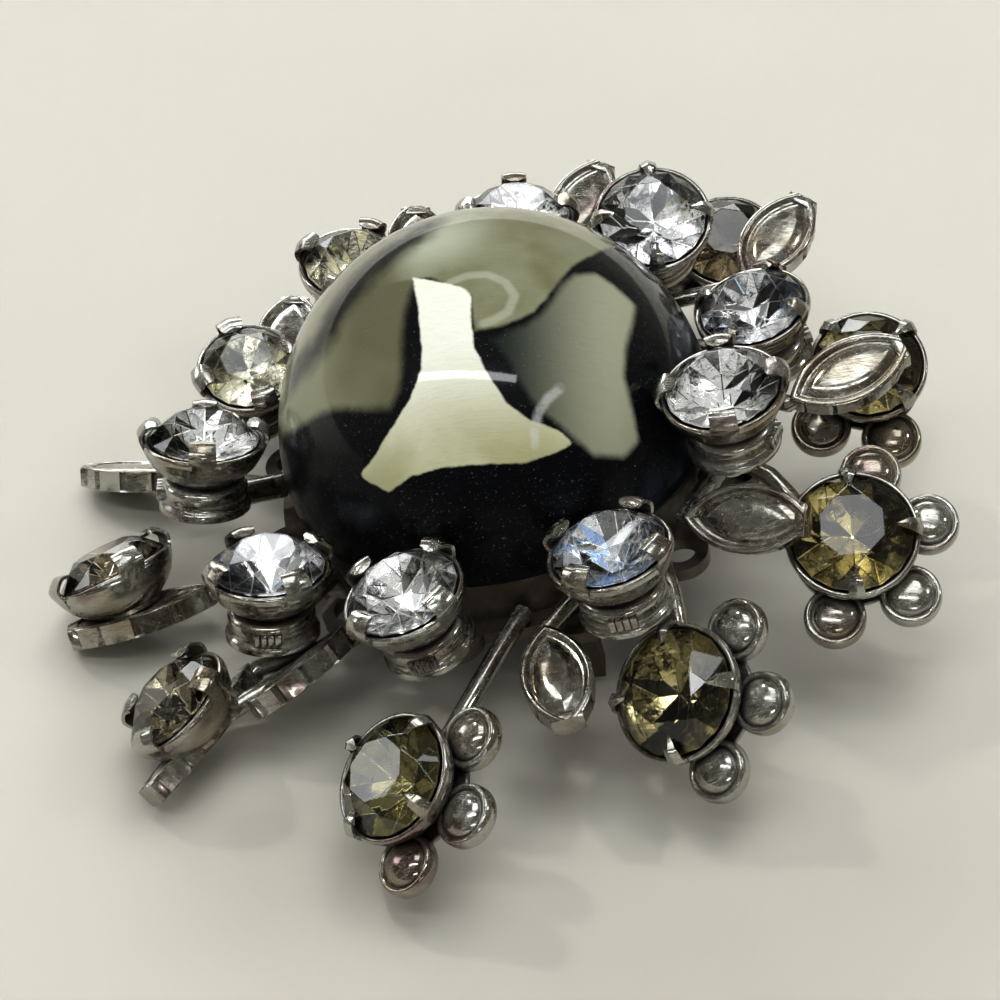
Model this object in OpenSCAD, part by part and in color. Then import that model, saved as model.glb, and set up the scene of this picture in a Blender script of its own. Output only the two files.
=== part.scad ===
// Pinwheel flower brooch: a high domed stone on an openwork base, an upper ring of
// clear stones with cast leaves, and a lower ring of smoky stones on petalled flowers.
// The brooch is drawn in its own frame, with height 0 at the dome's flat underside, and
// module lying() then leans it on its clasp and leaf tips, as it lies on a table.

/* [Domed stone] */
// Diameter of the domed stone
dome_d = 25; // [24:0.25:25]
// Height of the straight rim below the dome's curve
dome_rim_h = 0.4; // [0.2:0.1:1]

/* [Round stones] */
// Height of a stone above its girdle, as a share of its radius
crown_share = 0.40; // [0.3:0.01:0.45]
// Depth of a stone below its girdle, as a share of its radius
pavilion_share = 0.60; // [0.5:0.01:0.65]
// Width of the flat table, as a share of the stone's diameter
table_share = 0.56; // [0.5:0.01:0.62]

/* [Settings] */
// Thickness of a setting's wall
wall = 0.3; // [0.25:0.01:0.35]
// Depth of a setting below the stone's girdle
cup_h = 2.4; // [2.2:0.1:2.6]
// Width of a claw where it leaves the rim
claw_w = 1.9; // [1.5:0.1:2.2]
// Height of the collar that carries a clear stone's setting
collar_h = 1.2; // [1:0.1:1.5]
// Radius of the collar
collar_r = 2.45; // [2.3:0.05:2.6]

/* [Leaves and flowers] */
// Width of a leaf
leaf_w = 4; // [3.6:0.1:4.2]
// Thickness of a leaf's rim
leaf_t = 1.3; // [1:0.1:1.5]
// Width of a leaf's raised rim
leaf_rim = 0.5; // [0.4:0.05:0.6]
// Radius of a round petal
petal_r = 1.75; // [1.5:0.05:1.9]
// Distance from a flower's centre to a petal's centre, for a stone of 3 mm radius
petal_reach = 4.45; // [4.4:0.05:4.6]
// Depth of the petals below the girdle of the flower's stone
petal_drop = 1.7; // [1.65:0.01:1.75]
// Radius of a flower's stem
stem_r = 0.55; // [0.5:0.05:0.65]
// Radius of the arm under a clear stone
arm_r = 0.75; // [0.65:0.05:0.85]

/* [Base and clasp] */
// Thickness of the hub under the domed stone
hub_h = 3.5; // [3.3:0.1:3.7]
// Radius of the openwork flange around the hub
flange_r = 13.4; // [13.2:0.1:13.6]
// Length of the pin
pin_l = 27; // [24:0.5:30]
// Depth of the clasp below the base
clasp_h = 4.5; // [4.2:0.1:4.8]

/* [Lie] */
// Lean of the brooch as it lies, towards its left
lean = 12; // [11:0.5:13]
// Sideways place of the dome's centre, which centres the whole on the origin
centre_x = -0.3; // [-1:0.1:1]
// Place of the dome's centre from front to back, which centres the whole on the origin
centre_y = 3.1; // [2:0.1:4]

/* [Hidden] */
gap = 0.05;
dome_r = dome_d / 2;
girdle_t = 0.15;
culet_share = 0.12;
seat_drop = cup_h + gap + collar_h;
foot_r = 2.65;
foot_h = 0.6;
foot_drop = seat_drop + foot_h;
hub_r = dome_r - 0.2;
flange_t = 0.8;
lobe_r = 1.6;
hole_r = 0.9;
lobe_turn = 17;
plate_t = 0.35;
plate_drop = 0.2;
rod_over = 0.5;
rod_corner = sqrt(1 + rod_over * rod_over);
neck_r = 0.5;
leaf_cut = 0.93;
channel_z = 0.1;
bead_r = 8;
petal_t = 0.8;
petal_widen = 0.75;
arm_root_z = -0.95;
stem_root_z = -hub_h + flange_t + gap + stem_r * rod_corner;
arm_root_r = hub_r + gap + arm_r * rod_corner;
stem_root_r = hub_r + gap + stem_r * rod_corner;
elbow_r = flange_r + lobe_r + 0.8;
stem_inset = 1.2;
stem_taper = 0.88;
clasp_x = 3;
clasp_w = 3;
strip_t = 0.9;
pin_r = 0.45;
clasp_bottom = hub_h + gap + clasp_h;
lift = clasp_bottom * cos(lean) - (clasp_x - clasp_w / 2) * sin(lean);
steel = [0.74, 0.73, 0.70];

// Clear stones. Columns: angle, reach, height, lean outwards, lean anticlockwise,
// claw turn, stone radius, angle of the arm's root on the hub
CLEAR = [
    [156, 16.0, 2.2, -15, 10, 45, 2.75, 150],
    [185, 16.3, 4.2, -15, -18, 0, 3.15, 183],
    [223, 16.8, 3.0, -18, -5, 80, 3.15, 221],
    [254, 16.2, 3.6, 0, -9, 64, 3.15, 250],
    [295, 16.2, 3.7, -8, 0, 35, 3.15, 292],
    [336, 15.1, 6.2, 0, 0, 24, 3.15, 336],
    [14, 15.9, 2.95, -4, 0, 50, 3.0, 8],
    [51, 16.0, 3.6, -12, -20, 40, 3.15, 48],
    [84, 16.3, 2.4, 8, -10, 10, 3.15, 84],
    [121, 16.0, 2.8, -8, -10, 40, 3.0, 119]
];

// Leaves. Columns: node that the leaf is cast with, base angle, base reach, base height,
// tip angle, tip reach, tip height, bank towards the clockwise side
LEAF = [
    ["spray_1", 146, 16.5, -1.6, 129, 20.8, -1.6, 10],
    ["spray_2", 176, 18.4, -1.2, 173, 25.4, -1.2, 36],
    ["flower_1", 207, 18.6, -1.2, 202, 27.0, -1.4, 28],
    ["flower_2", 237, 15.8, -1.2, 231, 22.4, -1.8, 40],
    ["flower_2", 225, 20.0, -2.0, 229, 29.8, -2.0, 45],
    ["spray_5", 279, 15.2, -1.4, 279, 22.0, -2.0, 0],
    ["spray_6", 320, 13.6, -0.6, 327, 20.6, 0.2, 40],
    ["spray_7", 353, 17.0, 0.5, 1, 23.6, 1.1, 20],
    ["spray_8", 33, 17.6, -0.2, 39, 24.2, 0.6, 15],
    ["spray_9", 78, 16.6, -1.2, 74, 23.6, -0.2, 15],
    ["spray_10", 108, 15.8, -1.2, 104, 22.2, -0.4, 15]
];

// Flowers with a smoky stone. Columns: angle, reach, height, lean outwards,
// lean anticlockwise, claw turn, stone radius, angle of the stem's root, first petal, petals
FLOWER = [
    [199, 23.4, 1.0, 6, -35, 20, 3.2, 212, 0, 0],
    [226, 25.6, 0.8, 17, -26, 25, 3.1, 240, 0, 0],
    [257, 25.8, -0.28, 22, -22, 50, 3.3, 274, 0, 3],
    [295, 21.4, -3.1, 16, -34, 55, 3.5, 312, -18, 3],
    [333, 21.8, -2.6, 16, -19, 25, 3.4, 348, -82, 4],
    [9, 21.6, -2.4, 3, -26, 30, 3.1, 31.5, -145, 2],
    [51, 21.8, -2.8, -10, -19, 70, 2.9, 68, 150, 2],
    [87, 21.0, -4.0, 10, -20, 40, 3.1, 104, 150, 2]
];

// Point at an angle, reach and height around the dome's axis
function polar(angle, reach, height) = [reach * cos(angle), reach * sin(angle), height];

// Upward direction of a stone that leans outwards and anticlockwise, seen from its own radius
function stone_up(row) = [sin(row[3]) * cos(row[4]), sin(row[4]), cos(row[3]) * cos(row[4])];

// Point on a stone's own axis, at a distance along it from the girdle
function on_axis(row, along) =
    let (up = along * stone_up(row), c = cos(row[0]), s = sin(row[0]))
    polar(row[0], row[1], row[2]) + [up[0] * c - up[1] * s, up[0] * s + up[1] * c, up[2]];

// The brooch as it lies, leaning on its clasp
module lying() {
    translate([centre_x, centre_y, lift]) rotate([0, -lean, 0]) children();
}

// Places its children at a stone's girdle, turned along the stone's axis
module at_stone(row) {
    up = stone_up(row);
    translate(polar(row[0], row[1], row[2]))
        rotate([0, 0, row[0] + atan2(up[1], up[0])])
            rotate([0, acos(up[2]), 0])
                rotate([0, 0, -atan2(up[1], up[0])])
                    children();
}

// Round rod between two points, carried a little past each of them
module rod(a, b, r) {
    v = b - a;
    translate(a)
        rotate([0, acos(v[2] / norm(v)), atan2(v[1], v[0])])
            translate([0, 0, -r * rod_over])
                cylinder(h = norm(v) + 2 * r * rod_over, r = r, $fn = 32);
}

// Ring of points for the facets of a stone
function facet_ring(count, r, z, turn) =
    [for (i = [0 : count - 1]) [r * cos(360 * i / count + turn), r * sin(360 * i / count + turn), z]];

// Cut stone: a table, 8 star and 16 small facets above the girdle, the same below it
module cut_stone(r) {
    table = facet_ring(8, r * table_share, r * crown_share, 22.5);
    upper = facet_ring(16, r, girdle_t / 2, 0);
    lower = facet_ring(16, r, -girdle_t / 2, 0);
    culet = facet_ring(8, r * culet_share, -r * pavilion_share, 22.5);
    faces = concat(
        [[for (i = [7 : -1 : 0]) i]],
        [for (i = [0 : 7]) [i, (i + 1) % 8, 8 + (2 * i + 2) % 16]],
        [for (i = [0 : 7]) [i, 8 + 2 * i + 1, 8 + 2 * i]],
        [for (i = [0 : 7]) [i, 8 + (2 * i + 2) % 16, 8 + 2 * i + 1]],
        [for (i = [0 : 15]) [8 + i, 8 + (i + 1) % 16, 24 + (i + 1) % 16, 24 + i]],
        [for (i = [0 : 7]) [40 + i, 24 + (2 * i + 2) % 16, 40 + (i + 1) % 8]],
        [for (i = [0 : 7]) [40 + i, 24 + 2 * i, 24 + 2 * i + 1]],
        [for (i = [0 : 7]) [40 + i, 24 + 2 * i + 1, 24 + (2 * i + 2) % 16]],
        [[for (i = [0 : 7]) 40 + i]]
    );
    polyhedron(points = concat(table, upper, lower, culet), faces = faces);
}

// Open cup that tapers to its foot, round the stone's lower half
module cup(r) {
    rim_r = r + wall + 0.05;
    foot = r * 0.6;
    rotate_extrude($fn = 48)
        polygon([
            [0, -cup_h], [foot, -cup_h], [rim_r - 0.12, -0.7], [rim_r, -0.55], [rim_r, -gap],
            [r + 0.05, -gap], [r + 0.02, -0.3], [r * 0.24, -r * pavilion_share - 0.12],
            [0, -r * pavilion_share - 0.12]
        ]);
}

// Four claws that stand out from the rim and fold over the stone's edge
module claws(r, turn) {
    rim_r = r + wall + 0.05;
    tip_r = r * 0.74;
    tip_z = r * crown_share * 0.62;
    intersection() {
        rotate_extrude($fn = 48)
            polygon([
                [rim_r - 0.2, -0.75], [rim_r + 0.28, -0.3], [rim_r + 0.42, 0.2], [rim_r + 0.22, 0.62],
                [r - 0.1, tip_z + 0.34], [tip_r, tip_z + 0.44], [tip_r, tip_z + 0.16], [r - 0.1, 0.46],
                [r + 0.14, 0.28], [r + 0.14, 0.02], [rim_r - 0.2, -0.1]
            ]);
        union() {
            for (i = [0 : 3])
                rotate([0, 0, turn + 90 * i])
                    translate([0, 0, -1])
                        linear_extrude(3)
                            polygon([
                                [tip_r - 0.3, -0.1], [r + 0.2, -claw_w / 2], [r + 1.5, -claw_w / 2],
                                [r + 1.5, claw_w / 2], [r + 0.2, claw_w / 2], [tip_r - 0.3, 0.1]
                            ]);
        }
    }
}

// Collar under a clear stone's setting, with a groove, a square lug and a wide foot
module collar() {
    translate([0, 0, -seat_drop]) {
        rotate_extrude($fn = 48)
            polygon([
                [0, -foot_h], [foot_r, -foot_h], [foot_r, -0.15], [foot_r - 0.15, 0], [collar_r, 0],
                [collar_r, collar_h - 0.25], [collar_r - 0.2, collar_h], [0, collar_h]
            ]);
        translate([collar_r - 0.4, -0.8, 0.1]) cube([0.7, 1.6, 0.75]);
    }
}

// Pointed oval outline along X, from 0 to its length
module pointed_oval(l, w) {
    arc = (l * l / 4 + w * w / 4) / w;
    intersection() {
        translate([l / 2, arc - w / 2]) circle(arc, $fn = 96);
        translate([l / 2, w / 2 - arc]) circle(arc, $fn = 96);
    }
}

// Cast leaf along X: raised rim, sunk channel, domed middle, and a tip cut flat
module leaf(l) {
    full = l / leaf_cut;
    channel = full - 3 * leaf_rim;
    bead = full - 6 * leaf_rim;
    intersection() {
        union() {
            difference() {
                linear_extrude(leaf_t, center = true) pointed_oval(full, leaf_w);
                translate([1.5 * leaf_rim, 0, channel_z])
                    linear_extrude(leaf_t) pointed_oval(channel, leaf_w - 2 * leaf_rim);
            }
            intersection() {
                translate([3 * leaf_rim, 0, 0])
                    linear_extrude(leaf_t) pointed_oval(bead, leaf_w - 4 * leaf_rim);
                translate([full / 2, 0, leaf_t / 2 - bead_r]) sphere(bead_r, $fn = 96);
            }
        }
        translate([-1, -leaf_w, -leaf_t]) cube([l + 1, 2 * leaf_w, 2 * leaf_t]);
    }
}

// Leaf of a table row, laid from its base point to its tip
module placed_leaf(row) {
    base = polar(row[1], row[2], row[3]);
    v = polar(row[4], row[5], row[6]) - base;
    translate(base)
        rotate([0, -asin(v[2] / norm(v)), atan2(v[1], v[0])])
            rotate([row[7], 0, 0])
                leaf(norm(v));
}

// Round petal with a raised edge and a domed bead, beside a stone of the given radius
module petal(r) {
    translate([petal_reach + petal_widen * (r - 3), 0, 0])
        rotate_extrude($fn = 48)
            polygon([
                [0, -petal_t], [petal_r - 0.1, -petal_t], [petal_r, 0.15 - petal_t], [petal_r, 0.1],
                [petal_r - 0.12, 0.2], [petal_r - 0.35, 0.2], [petal_r - 0.5, -0.1],
                [petal_r - 0.6, -0.1], [petal_r - 0.75, 0.2], [petal_r - 1.0, 0.45],
                [petal_r - 1.3, 0.6], [0, 0.6]
            ]);
}

module dome_stone() {
    color([0.16, 0.17, 0.16])
        lying() {
            translate([0, 0, gap]) {
                cylinder(h = dome_rim_h, r = dome_r, $fn = 128);
                intersection() {
                    translate([0, 0, dome_rim_h]) sphere(dome_r, $fn = 128);
                    translate([-dome_r, -dome_r, 0]) cube([dome_d, dome_d, dome_d]);
                }
            }
        }
}

// Hub under the dome and the openwork flange of round holes around it
module base_frame() {
    color(steel)
        lying()
            translate([0, 0, -hub_h]) {
                cylinder(h = hub_h, r = hub_r, $fn = 96);
                linear_extrude(flange_t)
                    difference() {
                        union() {
                            circle(flange_r, $fn = 96);
                            lobes(lobe_r);
                        }
                        lobes(hole_r);
                    }
            }
}

// Twelve circles round the flange
module lobes(r) {
    for (k = [0 : 11])
        rotate(30 * k + lobe_turn)
            translate([flange_r, 0])
                circle(r, $fn = 32);
}

// Plain closed pin: a strip on the back, a hinge and a catch, and the stem between them
module pin_clasp() {
    color(steel)
        lying()
            translate([clasp_x, 0, -hub_h - gap]) {
                translate([-clasp_w / 2, -pin_l / 2, -strip_t]) cube([clasp_w, pin_l, strip_t]);
                for (end = [-1, 1])
                    translate([-clasp_w / 2, end * (pin_l / 2 - 1.5) - 0.75, -clasp_h])
                        cube([clasp_w, 1.5, clasp_h - strip_t / 2]);
                translate([0, -pin_l / 2 + 1, -clasp_h + 1.1])
                    rotate([-90, 0, 0])
                        cylinder(h = pin_l - 2, r = pin_r, $fn = 32);
            }
}

// Leaves cast with a node, each on a neck from the node's root
module leaves(owner, root) {
    for (blade = LEAF)
        if (blade[0] == owner) {
            rod(root, polar(blade[1], blade[2], blade[3]), neck_r);
            placed_leaf(blade);
        }
}

// Arm from the hub, collar for a clear stone, and the leaf cast beside it
module spray(k) {
    row = CLEAR[k];
    root = polar(row[7], arm_root_r, arm_root_z);
    color(steel)
        lying() {
            rod(root, on_axis(row, foot_h / 2 - foot_drop), arm_r);
            at_stone(row) collar();
            leaves(str("spray_", k + 1), root);
        }
}

module clear_setting(k) {
    row = CLEAR[k];
    color(steel)
        lying()
            at_stone(row) {
                cup(row[6]);
                claws(row[6], row[5]);
            }
}

module clear_stone(k) {
    row = CLEAR[k];
    color([0.86, 0.88, 0.90])
        lying()
            at_stone(row)
                rotate([0, 0, row[5]])
                    cut_stone(row[6]);
}

// Bent stem, petals and setting of a smoky stone, soldered in one
module flower(k) {
    row = FLOWER[k];
    r = row[6];
    plate_r = row[9] > 0 ? r : r * 0.6;
    elbow = polar(row[7] + 0.35 * (row[0] - row[7]), elbow_r, stem_root_z);
    color(steel)
        lying() {
            rod(polar(row[7], stem_root_r, stem_root_z), elbow, stem_r);
            rod(elbow, on_axis(row, -cup_h - plate_drop) - polar(row[0], stem_inset, 0), stem_r * stem_taper);
            leaves(str("flower_", k + 1), elbow);
            at_stone(row) {
                cup(r);
                claws(r, row[5]);
                translate([0, 0, -cup_h - plate_drop]) cylinder(h = plate_t, r = plate_r, $fn = 48);
                for (i = [0 : 1 : row[9] - 1])
                    rotate([0, 0, row[8] + 60 * i])
                        translate([0, 0, -petal_drop])
                            petal(r);
            }
        }
}

module smoky_stone(k) {
    row = FLOWER[k];
    color([0.45, 0.43, 0.30])
        lying()
            at_stone(row)
                rotate([0, 0, row[5]])
                    cut_stone(row[6]);
}

dome_stone();
base_frame();
pin_clasp();
for (k = [0 : len(CLEAR) - 1]) {
    spray(k);
    clear_setting(k);
    clear_stone(k);
}
for (k = [0 : len(FLOWER) - 1]) {
    flower(k);
    smoky_stone(k);
}
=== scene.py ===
"""Looks of the pinwheel flower brooch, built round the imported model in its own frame.

The brooch is drawn in millimetres in its own frame, with height 0 at the dome's flat
underside, and one matrix then leans it on its clasp, as it lies on a table.
"""
from __future__ import annotations

import logging
import math
import random
from dataclasses import dataclass
from enum import Enum
from typing import Callable, Sequence

import bmesh
import bpy
import numpy as np
from mathutils import Matrix, Vector


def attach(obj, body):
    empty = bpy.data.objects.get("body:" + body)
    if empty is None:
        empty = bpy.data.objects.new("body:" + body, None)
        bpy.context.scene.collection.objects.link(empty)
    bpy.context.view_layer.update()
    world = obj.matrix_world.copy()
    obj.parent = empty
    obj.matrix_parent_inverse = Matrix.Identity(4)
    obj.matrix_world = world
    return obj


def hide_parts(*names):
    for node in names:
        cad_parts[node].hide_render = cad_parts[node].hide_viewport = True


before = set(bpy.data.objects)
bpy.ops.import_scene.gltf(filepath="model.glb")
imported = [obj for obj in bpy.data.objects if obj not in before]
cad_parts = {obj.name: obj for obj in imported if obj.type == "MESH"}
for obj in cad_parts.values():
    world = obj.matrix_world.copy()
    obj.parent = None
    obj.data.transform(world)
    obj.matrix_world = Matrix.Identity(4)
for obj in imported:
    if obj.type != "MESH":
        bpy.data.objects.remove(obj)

LOG = logging.getLogger("brooch")
BODY = "root"
MM = 0.001
PER_MM = 1000.0
LEAN = -12.0
LIE = (-0.3, 3.1, 7.562)
HALF_EIGHTH = 22.5
ROUND_STEPS = 64

Colour = tuple[float, float, float]
Point = tuple[float, float, float]
Flat = tuple[float, float]
Inputs = dict[str | int, object]
Material = bpy.types.Material
Node = bpy.types.Node
Piece = bpy.types.Object
Socket = bpy.types.NodeSocket


def turned(degrees: float, axis: str = "Z") -> Matrix:
    """Matrix of a turn about an axis."""
    return Matrix.Rotation(math.radians(degrees), 4, axis)


def lying() -> Matrix:
    """Matrix from the brooch's own frame, in millimetres, to the model's, in metres."""
    return Matrix.Scale(MM, 4) @ Matrix.Translation(LIE) @ turned(LEAN, "Y")


def polar(angle: float, reach: float, height: float) -> Vector:
    """Point at an angle in degrees, a reach and a height around the dome's axis."""
    turn = math.radians(angle)
    return Vector((reach * math.cos(turn), reach * math.sin(turn), height))


def shaded(colour: Colour, share: float) -> Colour:
    """Colour times a share."""
    return tuple(c * share for c in colour)


def stand(name: str, data: bpy.types.ID) -> Piece:
    """Make an object and put it in the scene."""
    made = bpy.data.objects.new(name, data)
    bpy.context.scene.collection.objects.link(made)
    return made


class Graph:
    """Small builder of shader nodes in one tree, for a material, a node group or the world."""

    def __init__(self, tree: bpy.types.NodeTree) -> None:
        """Keep the tree that the nodes go in; its owner then sets the place that patterns read."""
        self.tree = tree
        self.place: Socket | None = None

    def feed(self, node: Node, inputs: Inputs) -> None:
        """Link outputs to a node's inputs, or set the inputs' own values.

        Args:
            node: the node.
            inputs: by name or number, an output socket, a number, or three numbers.
        """
        for name, value in inputs.items():
            socket = node.inputs[name]
            if isinstance(value, Socket):
                self.tree.links.new(value, socket)
            elif isinstance(value, tuple) and len(socket.default_value) == 4:
                socket.default_value = (*value, 1.0)
            else:
                socket.default_value = value

    def node(self, kind: str, inputs: Inputs | None = None, **settings: object) -> Node:
        """Add a node.

        Args:
            kind: Blender's name of the node type.
            inputs: what its inputs get, as for feed.
            settings: properties of the node to set.

        Returns:
            The new node.
        """
        made = self.tree.nodes.new(kind)
        for name, value in settings.items():
            setattr(made, name, value)
        self.feed(made, inputs or {})
        return made

    def math(self, operation: str, a: object, b: object = 0.0, **settings: object) -> Socket:
        """Result of a Math node."""
        return self.node("ShaderNodeMath", {0: a, 1: b}, operation=operation, **settings).outputs[0]

    def times(self, a: object, b: object) -> Socket:
        """Product of two values."""
        return self.math("MULTIPLY", a, b)

    def plus(self, a: object, b: object) -> Socket:
        """Sum of two values."""
        return self.math("ADD", a, b)

    def step(self, value: object, low: float, high: float, to: Flat = (0.0, 1.0)) -> Socket:
        """Smooth step of a value between two limits, to a range of results."""
        inputs = {0: value, 1: low, 2: high, 3: to[0], 4: to[1]}
        return self.node("ShaderNodeMapRange", inputs, interpolation_type="SMOOTHSTEP").outputs[0]

    def mix(self, share: object, a: object, b: object) -> Socket:
        """Colour between two, by a share."""
        return self.node("ShaderNodeMix", {0: share, 6: a, 7: b}, data_type="RGBA").outputs[2]

    def noise(self, scale: float, detail: float, rough: float = 0.55, place: Socket | None = None) -> Socket:
        """Value of a noise at a place in millimetres, the tree's own where none is given."""
        inputs = {"Scale": scale, "Detail": detail, "Roughness": rough, "Vector": place or self.place}
        return self.node("ShaderNodeTexNoise", inputs).outputs[0]

    def patches(
        self, scale: float, detail: float, low: float, high: float,
        to: Flat = (0.0, 1.0), rough: float = 0.55,
    ) -> Socket:
        """Patches with soft edges: a noise as for noise, stepped as for step."""
        return self.step(self.noise(scale, detail, rough), low, high, to)

    def sway(self, scale: float, detail: float, by: float) -> Socket:
        """Noise that goes up and down about 0, by a number."""
        return self.times(self.math("SUBTRACT", self.noise(scale, detail), 0.5), by)

    def read(self, name: str) -> Socket:
        """Value of a mesh attribute."""
        return self.node("ShaderNodeAttribute", attribute_name=name).outputs["Fac"]

    def bump(self, height: object, depth: float, **coarser: Socket) -> Socket:
        """Normal from a height, with its depth in millimetres, over a coarser Normal if given."""
        return self.node("ShaderNodeBump", {"Distance": depth * MM, "Height": height, **coarser}).outputs[0]


class SharedEffects:
    """Node groups that more than one finish uses, each built once."""

    def __init__(self) -> None:
        """Build the groups."""
        self.grime = self.make_grime()
        self.scratches = self.make_scratches()

    @staticmethod
    def start(name: str, numbers: Sequence[str], result: str) -> tuple[Graph, Sequence[Socket], Node]:
        """Start a group that has a place, some numbers and one result.

        Args:
            name: the group's name.
            numbers: names of its number inputs.
            result: name of its output.

        Returns:
            Its graph, the sockets that come in and the node that takes the result.
        """
        tree = bpy.data.node_groups.new(name, "ShaderNodeTree")
        tree.interface.new_socket("Place", in_out="INPUT", socket_type="NodeSocketVector")
        for number in numbers:
            tree.interface.new_socket(number, in_out="INPUT", socket_type="NodeSocketFloat")
        tree.interface.new_socket(result, in_out="OUTPUT", socket_type="NodeSocketFloat")
        graph = Graph(tree)
        came = graph.node("NodeGroupInput").outputs
        graph.place = came["Place"]
        return graph, came, graph.node("NodeGroupOutput")

    def make_grime(self) -> bpy.types.NodeTree:
        """Dark dirt that gathers where a surface is shut in, with a ragged edge.

        Returns:
            The group.
        """
        g, came, goes = self.start("grime in recesses", ("Openness", "Amount"), "Mask")
        shut = g.plus(g.math("SUBTRACT", 1.0, came["Openness"]), g.sway(0.8, 4, 0.7))
        film = g.times(g.patches(0.3, 3, 0.55, 0.75), 0.22)
        mask = g.plus(g.step(shut, 0.34, 0.80), film)
        g.feed(goes, {"Mask": g.math("MULTIPLY", mask, came["Amount"], use_clamp=True)})
        return g.tree

    def make_scratches(self) -> bpy.types.NodeTree:
        """Fine crossing scratches, as thin lines of a stretched noise.

        Returns:
            The group.
        """
        g, came, goes = self.start("fine scratches", (), "Lines")
        lines: object = 0.0
        for turn, stretch in ((0.5, 9.0), (1.9, 12.0), (2.7, 7.0)):
            lay = g.node("ShaderNodeMapping", {
                "Vector": came["Place"], "Rotation": (turn, turn * 0.6, turn), "Scale": (0.25, stretch, 1.0),
            })
            value = g.noise(1.0, 2, place=lay.outputs[0])
            near = g.math("ABSOLUTE", g.math("SUBTRACT", value, 0.5))
            lines = g.math("MAXIMUM", lines, g.step(near, 0.0, 0.006, (1.0, 0.0)))
        g.feed(goes, {"Lines": lines})
        return g.tree

    def lines(self, graph: Graph) -> Socket:
        """Scratches, placed in a material's graph."""
        group = graph.node("ShaderNodeGroup", {"Place": graph.place}, node_tree=self.scratches)
        return group.outputs["Lines"]


@dataclass(frozen=True)
class Finish:
    """A surface finish; a child class draws it."""

    name: str

    def draw(self, g: Graph, effects: SharedEffects) -> Inputs:
        """Draw what the main shader's inputs get.

        Args:
            g: the material's graph.
            effects: the shared groups.

        Returns:
            A value or an output socket for each input, by name.
        """
        raise NotImplementedError

    def make(self, effects: SharedEffects) -> Material:
        """Make the material, with patterns laid in millimetres on the piece.

        Args:
            effects: the shared groups.

        Returns:
            The material.
        """
        material = bpy.data.materials.new(self.name)
        material.use_nodes = True
        g = Graph(material.node_tree)
        metres = g.node("ShaderNodeTexCoord").outputs["Object"]
        g.place = g.node("ShaderNodeMapping", {"Vector": metres, "Scale": (PER_MM,) * 3}).outputs[0]
        g.feed(material.node_tree.nodes["Principled BSDF"], self.draw(g, effects))
        return material


@dataclass(frozen=True)
class AgedSilver(Finish):
    """Bright plated metal that has aged: tinted, scratched and dark in recesses."""

    bright: Colour = (0.458, 0.455, 0.418)
    warm: Colour = (0.31, 0.27, 0.21)
    plum: Colour = (0.25, 0.19, 0.178)
    dirt: Colour = (0.016, 0.012, 0.008)
    grime: float = 1.0
    recess: float = 1.4
    polish: float = 0.10
    clouded: float = 0.22

    def draw(self, g: Graph, effects: SharedEffects) -> Inputs:
        """Draw the metal, its dirt and its scratches.

        Args:
            g: the material's graph.
            effects: the shared groups.

        Returns:
            What the main shader's inputs get.
        """
        hollow = g.node("ShaderNodeAmbientOcclusion", {"Distance": self.recess * MM}, samples=6)
        mask = g.node("ShaderNodeGroup", {
            "Place": g.place, "Openness": hollow.outputs["AO"], "Amount": self.grime,
        }, node_tree=effects.grime).outputs["Mask"]
        metal = g.mix(g.patches(0.21, 4, 0.42, 0.68), self.bright, self.warm)
        metal = g.mix(g.patches(0.33, 5, 0.5, 0.72), metal, self.plum)
        rough = g.patches(1.6, 4, 0.35, 0.75, (self.polish, self.polish + self.clouded))
        pits = g.bump(g.noise(5.0, 2), 0.002, Normal=g.bump(g.noise(0.45, 2), 0.03))
        return {
            "Base Color": g.mix(mask, metal, self.dirt),
            "Metallic": g.math("SUBTRACT", 1.0, g.times(mask, 0.85)),
            "Roughness": g.plus(rough, g.times(mask, 0.35)),
            "Normal": g.bump(effects.lines(g), -0.006, Normal=pits),
        }


@dataclass(frozen=True)
class StoneGlass(Finish):
    """Glass of a cut stone's upper facets."""

    tint: Colour = (0.98, 0.985, 0.98)
    worn: float = 0.35
    index: float = 1.6

    def draw(self, g: Graph, effects: SharedEffects) -> Inputs:
        """Draw the glass, worn along its facets' edges.

        Args:
            g: the material's graph.
            effects: the shared groups.

        Returns:
            What the main shader's inputs get.
        """
        edge = g.read("edge")
        tone = g.mix(g.patches(0.5, 2, 0.4, 0.7), self.tint, shaded(self.tint, 0.86))
        return {
            "Base Color": g.mix(edge, tone, tuple(min(c, 0.97) for c in shaded(self.tint, 1.12))),
            "Transmission Weight": 1.0,
            "IOR": self.index,
            "Roughness": g.plus(g.patches(2.2, 3, 0.5, 0.8, (0.01, 0.08)), g.times(edge, self.worn)),
        }


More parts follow.
